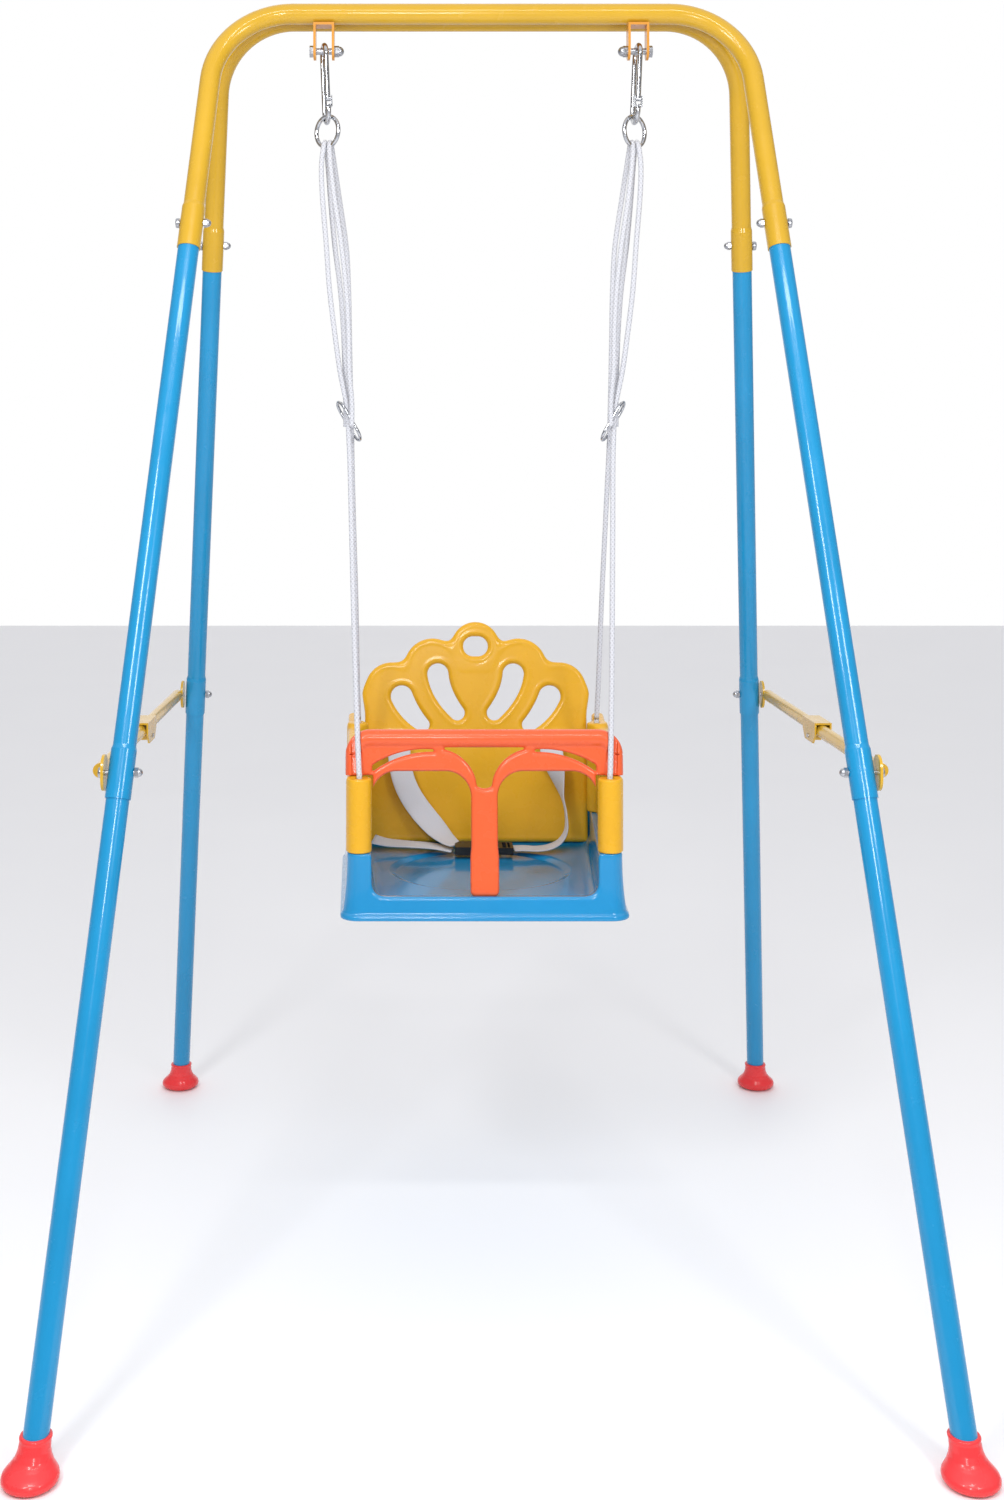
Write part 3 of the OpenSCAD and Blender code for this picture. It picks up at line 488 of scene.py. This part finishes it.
def strap_section(width, thickness):
    """A flat strap with rounded selvedges."""
    half, r = width / 2, thickness / 2
    right = [(half - r + r * math.cos(a), r * math.sin(a)) for a in (-1.2, -0.6, 0, 0.6, 1.2)]
    top = [(half * s, r) for s in (0.7, 0.35, 0, -0.35, -0.7)]
    left = [(-x, -y) for x, y in right]
    bottom = [(-x, -y) for x, y in top]
    return right + top + left + bottom


for name, (node, stations) in STRAPS.items():
    path = curve_through([Vector(p) * MM for p, w in stations], 4 * MM)
    keys = [Vector(p) * MM for p, w in stations]
    widths = []
    for p in path:
        near = min(range(len(keys) - 1), key=lambda i: (p - keys[i]).length + (p - keys[i + 1]).length)
        t = (p - keys[near]).length / max(1e-6, (p - keys[near]).length + (p - keys[near + 1]).length)
        a, b = Vector(stations[near][1]).normalized(), Vector(stations[near + 1][1]).normalized()
        widths.append((a * (1 - t) + b * t).normalized())
    for _ in range(4):
        widths = [widths[0]] + [((widths[i - 1] + widths[i] * 2 + widths[i + 1]) / 4).normalized()
                                for i in range(1, len(widths) - 1)] + [widths[-1]]
    strap, girth, length = sweep(name, path, strap_section(30 * MM, 1.8 * MM), widths)
    finish_piece(strap, "white_webbing", "swing", *([node] if node else []))


# -------------------------------------------------------------------- feet

foot_half = Vector((450, 518, 0)) * MM
corner = Vector((328, 18, 1536)) * MM


def leg_point(depth, hand, z):
    t = (corner.z - z) / corner.z
    return Vector((hand * (corner.x + (foot_half.x - corner.x) * t),
                   depth * (corner.y + (foot_half.y - corner.y) * t), z))


FOOT_H = 40 * MM
# height and radius from the ground up to the lip of the sleeve
FOOT_PROFILE = ((0, 23), (1.5, 25.6), (4, 27.6), (7, 28), (10, 27), (13, 24.6), (17, 21),
                (22, 17.8), (28, 15.9), (36, 15.3), (37, 15.9), (40, 16))
FOOT_STRAIGHT = 20 * MM
FOOT_SLOPE = 0.75


def foot_field(depth, hand, x, y, z):
    base = leg_point(depth, hand, 0)
    tip = leg_point(depth, hand, FOOT_H)
    # the sleeve leans with the leg, and the base stays level
    share = z / FOOT_H * np.clip(z / FOOT_STRAIGHT, 0, 1)
    off_x = x - base.x - (tip.x - base.x) * share
    off_y = y - base.y - (tip.y - base.y) * share
    off = np.sqrt(off_x ** 2 + off_y ** 2)
    heights, radii = [np.array(v) * MM for v in zip(*FOOT_PROFILE)]
    body = (off - np.interp(z, heights, radii)) * FOOT_SLOPE
    body = smooth_max(body, z - FOOT_H, 1.5 * MM)
    body = smooth_max(body, -z, 1.5 * MM)
    return body


for depth in (FRONT, REAR):
    for hand in (LEFT, RIGHT):
        base = leg_point(depth, hand, 0)
        low = (base.x - 36 * MM, base.y - 36 * MM, -4 * MM)
        high = (base.x + 36 * MM, base.y + 36 * MM, 56 * MM)
        x, y, z = field_axes(low, high, 1.0 * MM)
        name = f"{DEPTH_NAMES[depth]}_foot_{SIDE_NAMES[hand]}"
        foot = skin_field(f"rubber_{name}", foot_field(depth, hand, x, y, z), low, 1.0 * MM)
        finish_piece(foot, "red_plastic", f"{DEPTH_NAMES[depth]}_frame", name)


# -------------------------------------------------------------------- seat

FLOOR_Z = 461 * MM
BASE_Z = 439 * MM
BASE_TOP = 516 * MM
POST = (148 * MM, -136 * MM)
BOSS = (157 * MM, 100 * MM)
TAPER = 10 / 294


def base_field(x, y, z):
    rise = np.clip((BASE_TOP - z) / (BASE_TOP - BASE_Z), 0, 1)
    flare = 6.5 * MM * rise ** 2.2
    half_x = 162.5 * MM + TAPER * (y + 136 * MM) + flare
    corner_r = 14.5 * MM + 6 * MM * rise
    outer = round_rect(x, y - 6.5 * MM, half_x, 157 * MM + flare, corner_r)
    flange = round_rect(x, y - 6.5 * MM, half_x + 2.2 * MM, 159.2 * MM + flare, corner_r + 1 * MM)
    shell = smooth_max(outer, slab(z, BASE_Z + 2 * MM, BASE_TOP), 3 * MM)
    shell = smooth_min(shell, smooth_max(flange, slab(z, BASE_Z, BASE_Z + 7 * MM), 3 * MM), 2 * MM)
    room_x = 134 * MM + 0.063 * (y + 136 * MM)
    room = smooth_max(np.abs(x) - room_x, y - 158.5 * MM, 12 * MM)
    # a raised lip across the front, then the floor
    lip = 5.5 * MM * np.clip(1 - (y + 150 * MM) / (26 * MM), 0, 1) ** 0.8
    oval = (x / (112 * MM)) ** 2 + ((y - 8 * MM) / (104 * MM)) ** 2
    dish = 3.2 * MM * np.clip((1.06 - oval) * 6, 0, 1)
    room = smooth_max(room, FLOOR_Z + lip - dish - z, 18 * MM)
    body = smooth_max(shell, -room, 4.5 * MM)
    # hollow underside, open downwards, with ribs
    ribs = np.minimum(np.minimum(np.abs(np.abs(x) - 66 * MM), np.abs(x)) - 1.5 * MM,
                      np.minimum(np.abs(y + 70 * MM), np.minimum(np.abs(y - 10 * MM), np.abs(y - 90 * MM)))
                      - 1.5 * MM)
    under = smooth_max(round_rect(x, y - 8 * MM, 150 * MM, 146 * MM, 20 * MM), z - (FLOOR_Z - 8 * MM), 3 * MM)
    under = smooth_max(under, -(z - BASE_Z + 40 * MM), 1 * MM)
    under = smooth_max(under, -ribs, 1.5 * MM)
    for px, py in (POST, BOSS):
        boss = np.sqrt((np.abs(x) - px) ** 2 + (y - py) ** 2)
        under = np.maximum(under, 13.5 * MM - boss)
        body = np.maximum(body, -smooth_max(boss - 9 * MM, z - (BASE_Z + 13 * MM), 1 * MM))
    return smooth_max(body, -under, 2 * MM)


def build_base():
    step = 1.5 * MM
    low = (-186 * MM, -168 * MM, 434 * MM)
    x, y, z = field_axes(low, (186 * MM, 182 * MM, 522 * MM), step)
    base = skin_field("seat_tub", base_field(x, y, z), low, step)
    finish_piece(base, "blue_plastic", "swing", "seat_base")


def side_field(x, y, z):
    """The right side wall; the left one is its mirror image."""
    outer = 162.5 * MM + TAPER * (y + 136 * MM)
    inner = 150 * MM + 6 / 294 * (y + 136 * MM)
    top = 603 * MM + (y + 122 * MM) * 34 / 285
    wall = smooth_max(slab(x, inner, outer), slab(y, POST[1], 164 * MM), 6 * MM)
    wall = smooth_max(wall, z - top, 6 * MM)
    post = np.sqrt((x - POST[0]) ** 2 + (y - POST[1]) ** 2) - 14.5 * MM
    post = smooth_max(post, z - 603 * MM, 3 * MM)
    boss = np.sqrt((x - BOSS[0]) ** 2 + (y - BOSS[1]) ** 2) - 13 * MM
    boss = smooth_max(boss, z - 632 * MM, 3 * MM)
    body = smooth_min(smooth_min(wall, boss, 8 * MM), post, 6 * MM)
    body = smooth_max(body, 516.2 * MM - z, 1.5 * MM)
    for px, py in (POST, BOSS):
        hole = np.sqrt((x - px) ** 2 + (y - py) ** 2) - 4 * MM
        body = smooth_max(body, -hole, 1.5 * MM)
    return body


def build_sides():
    step = 1.1 * MM
    low = (125 * MM, -158 * MM, 510 * MM)
    x, y, z = field_axes(low, (182 * MM, 172 * MM, 652 * MM), step)
    field = side_field(x, y, z)
    for hand in (LEFT, RIGHT):
        place = Matrix.Scale(-1, 4, (1, 0, 0)) if hand == LEFT else None
        side = skin_field(f"seat_wall_{SIDE_NAMES[hand]}", field, low, step, place)
        if hand == LEFT:
            side.data.flip_normals()
        finish_piece(side, "yellow_plastic", "swing", f"seat_side_{SIDE_NAMES[hand]}")


BACK_LEAN = math.radians(-7.7)
BACK_FOOT = (0, 142 * MM, FLOOR_Z + 3.5 * MM)
BACK_PLACE = Matrix.Translation(BACK_FOOT) @ Matrix.Rotation(BACK_LEAN, 4, "X")
LOBES = ((0, 263, 33), (58.7, 234.5, 39), (114.5, 204.5, 36.5))
SLOTS = (((51.4, 224.8, 14), (43.5, 198.6, 12.5), (25.2, 172.4, 9.7)),
         ((100.7, 194.5, 14.5), (88.9, 174, 12.6), (72.3, 156.5, 9)))


def back_field(x, t, h):
    """The backrest, flat in its own plane: x across, t through it, h up it."""
    ax = np.abs(x)
    plate = np.maximum(round_rect(x, h - 90 * MM, 151 * MM, 114 * MM, 8 * MM), -h)
    plate = smooth_min(plate, round_rect(x, h - 170 * MM, 95 * MM, 66 * MM, 10 * MM), 10 * MM)
    for cx, cy, r in LOBES:
        lobe = np.sqrt((ax - cx * MM) ** 2 + (h - cy * MM) ** 2) - r * MM
        plate = smooth_min(plate, lobe, 16 * MM)
    holes = capsule2(ax, h, (3.3 * MM, 262.5 * MM), (0, 262.5 * MM), 13.2 * MM, 13.2 * MM)
    for slot in SLOTS:
        top, middle, bottom = [np.array(end) * MM for end in slot]
        ends = [top * (1 - u) * (1 - 2 * u) + middle * 4 * u * (1 - u) + bottom * u * (2 * u - 1)
                for u in np.linspace(0, 1, 9)]
        for a, b in zip(ends, ends[1:]):
            holes = np.minimum(holes, capsule2(ax, h, a[:2], b[:2], a[2], b[2]))
    holes = np.minimum(holes, round_rect(ax - 102 * MM, h - 140 * MM, 21 * MM, 2.5 * MM, 2.4 * MM))
    outline = np.maximum(plate, -holes)
    # a faint rim round every edge
    rim = np.clip(1 - np.abs(outline + 5 * MM) / (5 * MM), 0, 1) * 0.3 * MM
    return smooth_max(outline, slab(t, 0.9 * MM - rim, 11.1 * MM + rim), 7 * MM)


def build_back():
    step = 1.2 * MM
    low = (-160 * MM, -4 * MM, -4 * MM)
    x, t, h = field_axes(low, (160 * MM, 16 * MM, 302 * MM), step)
    back = skin_field("seat_backrest", back_field(x, t, h), low, step, BACK_PLACE)
    finish_piece(back, "yellow_plastic", "swing", "seat_back")


GUARD_LEAN = math.radians(-7.4)
GUARD_PLACE = Matrix.Translation((0, -117.5 * MM, 647 * MM)) @ Matrix.Rotation(GUARD_LEAN, 4, "X")
GUARD_FOOT = -43.6 * MM
SLEEVE_TOP = 603.6 * MM
SLEEVE_INSIDE = 133 * MM
# the front rope's place just above its sleeve, and how it leans from there
ROPE_START = (149 * MM, -133 * MM, 612 * MM)
ROPE_LEAN = (0.044, 112 / 402)


def guard_field(x, t, h):
    """The guard in its own plane: round bar along x, plate and post below it."""
    ax = np.abs(x)
    bar_r = 10.5 * MM
    half, bend = 154.5 * MM, 19 * MM
    bar = np.maximum(np.sqrt(t * t + h * h) - bar_r, ax - (half - bend))
    cx, cz = half - bend, -bend
    ring = np.sqrt((np.sqrt((ax - cx) ** 2 + (h - cz) ** 2) - bend) ** 2 + t * t) - bar_r
    ring = np.maximum(ring, np.maximum(cx - ax, cz - h))
    end = np.maximum(np.sqrt((ax - half) ** 2 + t * t) - bar_r, np.maximum(h - cz, GUARD_FOOT - h))
    bar = np.minimum(np.minimum(bar, ring), end)
    plate = round_rect(x, h + 21.8 * MM, half, 21.8 * MM, 2 * MM)
    plate = np.minimum(plate, round_rect(x, h + 29.5 * MM, 133 * MM, 29.5 * MM, 1.5 * MM))
    post = np.maximum(round_rect(x, h + 95 * MM, 17 * MM, 89 * MM, 6 * MM), h + 30 * MM)
    plate = smooth_min(plate, post, 3 * MM)
    # the arms sweep down into the post
    fillet_r = 36 * MM
    knee = np.maximum(ax - 52 * MM, -(h + 76 * MM))
    knee = np.maximum(knee, h + 30 * MM)
    arch = np.sqrt((ax - 52 * MM) ** 2 + (h + 74.7 * MM) ** 2) - fillet_r
    plate = np.minimum(plate, np.maximum(knee, -arch))
    leg = round_rect(ax - 75 * MM, h + 97 * MM, 59 * MM, 58.3 * MM, 30 * MM)
    plate = smooth_max(plate, -leg, 2 * MM)
    slit_r = np.sqrt((ax - 66 * MM) ** 2 + (h + 132 * MM) ** 2)
    slit_w = 1.4 * MM + 1.8 * MM * np.clip((ax - 60 * MM) / (70 * MM), 0, 1)
    slit = smooth_max(np.abs(slit_r - 117.5 * MM) - slit_w, slab(ax, 60 * MM, 133 * MM), 2 * MM)
    plate = smooth_max(plate, -slit, 1 * MM)
    gap = np.maximum(slab(h, -57 * MM, -10 * MM), ax - 48 * MM)
    gap = smooth_max(gap, 50 * MM - np.sqrt((ax - 58 * MM) ** 2 + (h + 62 * MM) ** 2), 3 * MM)
    gap = smooth_min(gap, np.sqrt(x * x + (h + 51 * MM) ** 2) - 7.5 * MM, 4 * MM)
    plate = smooth_max(plate, -gap, 2 * MM)
    plate = smooth_max(plate, np.abs(t) - 5 * MM, 5 * MM)
    return smooth_min(plate, bar, 2.5 * MM)


def build_guard():
    step = 1.0 * MM
    low = (-170 * MM, -13 * MM, -190 * MM)
    x, t, h = field_axes(low, (170 * MM, 13 * MM, 14 * MM), step)
    field = guard_field(x, t, h)
    # rope grooves at both ends, open to the front and wide enough for the whole lift
    turn = GUARD_PLACE.to_3x3()
    wy = GUARD_PLACE.translation.y + turn[1][1] * t + turn[1][2] * h
    wz = GUARD_PLACE.translation.z + turn[2][1] * t + turn[2][2] * h
    rope_y = ROPE_START[1] + (wz - ROPE_START[2]) * ROPE_LEAN[1]
    rope_x = ROPE_START[0] + (wz - ROPE_START[2]) * ROPE_LEAN[0]
    sideways = np.abs(np.abs(x) - rope_x - 2.2 * MM) - 5.8 * MM
    across = np.maximum(sideways, wy - rope_y - 4.2 * MM)
    field = smooth_max(field, -across, 2.5 * MM)
    # a flat under each end, where the guard rests on the sleeves
    inboard = 40 * np.maximum(0, SLEEVE_INSIDE - np.abs(x))
    field = smooth_max(field, SLEEVE_TOP - wz - inboard, 1 * MM)
    guard = skin_field("guard_bar", field, low, step, GUARD_PLACE)
    finish_piece(guard, "orange_plastic", "seat_guard", "guard")


build_base()
build_sides()
build_back()
build_guard()


# ------------------------------------------------------------ floor, light

def add_light(name, place, aim, size, power):
    data = bpy.data.lights.new(name, "AREA")
    data.shape = "RECTANGLE"
    data.size, data.size_y = size
    data.energy = power
    light = bpy.data.objects.new(name, data)
    light.location = place
    light.rotation_euler = (Vector(aim) - Vector(place)).to_track_quat("-Z", "Y").to_euler()
    bpy.context.scene.collection.objects.link(light)


floor = add_mesh("floor", [(-8, -8, -0.0008), (8, -8, -0.0008), (8, 8, -0.0008), (-8, 8, -0.0008)],
                 [(0, 1, 2, 3)], smooth=False)
floor_look = Look("pale_floor", (0.93, 0.93, 0.94, 1), 0.6)
floor_look.vary_rough(floor_look.noise(3, 3), 0.55, 0.7)
floor.data.materials.append(floor_look.material)

world = bpy.data.worlds.new("studio")
world.use_nodes = True
tree = world.node_tree
# white wall behind the object, dimmer room in front of it
direction = tree.nodes.new("ShaderNodeTexCoord")
split = tree.nodes.new("ShaderNodeSeparateXYZ")
level = tree.nodes.new("ShaderNodeValToRGB")
level.color_ramp.elements[0].position = 0.0
level.color_ramp.elements[0].color = (0.26, 0.26, 0.27, 1)
level.color_ramp.elements[1].position = 0.95
level.color_ramp.elements[1].color = (1, 1, 1, 1)
middle = level.color_ramp.elements.new(0.82)
middle.color = (0.32, 0.32, 0.33, 1)
overhead = tree.nodes.new("ShaderNodeMapRange")
overhead.inputs["From Min"].default_value = 0.45
overhead.inputs["From Max"].default_value = 0.8
overhead.inputs["To Min"].default_value = 1.0
overhead.inputs["To Max"].default_value = 3.2
tree.links.new(split.outputs["Z"], overhead.inputs["Value"])
tree.links.new(overhead.outputs["Result"], tree.nodes["Background"].inputs["Strength"])
spread = tree.nodes.new("ShaderNodeMapRange")
spread.inputs["From Min"].default_value = -1.0
tree.links.new(direction.outputs["Generated"], split.inputs["Vector"])
tree.links.new(split.outputs["Y"], spread.inputs["Value"])
tree.links.new(spread.outputs["Result"], level.inputs["Fac"])
tree.links.new(level.outputs["Color"], tree.nodes["Background"].inputs["Color"])
bpy.context.scene.world = world
bpy.context.scene.view_settings.view_transform = "Standard"

add_light("key", (-0.8, -1.6, 1.7), (0, 0, 0.8), (0.3, 0.5), 13)
add_light("fill", (0.9, -1.6, 1.4), (0, 0, 0.7), (0.3, 0.5), 10)
add_light("front", (-0.1, -2.3, 1.35), (0, 0, 0.8), (0.3, 0.3), 8)
add_light("strip", (0, -1.5, 2.3), (0, 0, 0.7), (1.3, 0.1), 9)
